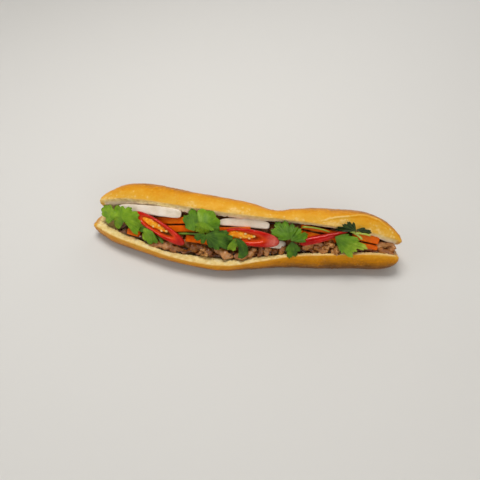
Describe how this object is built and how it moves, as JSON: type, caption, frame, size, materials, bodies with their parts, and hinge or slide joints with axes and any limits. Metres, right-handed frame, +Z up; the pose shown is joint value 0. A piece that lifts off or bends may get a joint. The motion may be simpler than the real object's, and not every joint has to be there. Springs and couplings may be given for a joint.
{
  "type": "banh mi sandwich",
  "caption": "Long crusty roll slit along one side and opened like a book, filled with grilled pork, pickled daikon and carrot, red chilli slices and coriander leaves.",
  "frame": {"origin": "middle of the underside that the roll rests on, at the bottom centre of the whole sandwich's box", "axes": "+X along the roll towards its right end seen from the open side, +Y from the open side to the hinge at the back, +Z up"},
  "size_m": [0.2994, 0.0778, 0.0564],
  "materials": {
    "bread_crust": "baked crust, satin, with a matt cream crumb on the cut faces",
    "pickled_carrot": "wet, slightly translucent",
    "red_chilli": "glossy cut flesh",
    "coriander_leaf": "satin leaf",
    "coriander_stalk": "satin stalk",
    "pickled_daikon": "wet, translucent white",
    "grilled_pork": "glazed, browned meat"
  },
  "bodies": {
    "root": {"bread": "bread_crust", "carrot_stick_1": "pickled_carrot", "carrot_stick_2": "pickled_carrot", "carrot_stick_3": "pickled_carrot", "carrot_stick_4": "pickled_carrot", "carrot_stick_5": "pickled_carrot", "carrot_stick_6": "pickled_carrot", "carrot_stick_7": "pickled_carrot", "carrot_stick_8": "pickled_carrot", "carrot_stick_9": "pickled_carrot", "chili_slice_1": "red_chilli", "chili_slice_2": "red_chilli", "chili_slice_3": "red_chilli", "coriander_leaf_1": "coriander_leaf", "coriander_leaf_10": "coriander_leaf", "coriander_leaf_11": "coriander_leaf", "coriander_leaf_12": "coriander_leaf", "coriander_leaf_13": "coriander_leaf", "coriander_leaf_14": "coriander_leaf", "coriander_leaf_15": "coriander_leaf", "coriander_leaf_2": "coriander_leaf", "coriander_leaf_3": "coriander_leaf", "coriander_leaf_4": "coriander_leaf", "coriander_leaf_5": "coriander_leaf", "coriander_leaf_6": "coriander_leaf", "coriander_leaf_7": "coriander_leaf", "coriander_leaf_8": "coriander_leaf", "coriander_leaf_9": "coriander_leaf", "coriander_stem_1": "coriander_stalk", "coriander_stem_2": "coriander_stalk", "coriander_stem_3": "coriander_stalk", "coriander_stem_4": "coriander_stalk", "daikon_slice_1": "pickled_daikon", "daikon_slice_2": "pickled_daikon", "daikon_slice_3": "pickled_daikon", "pork_filling": "grilled_pork"}
  },
  "joints": []
}
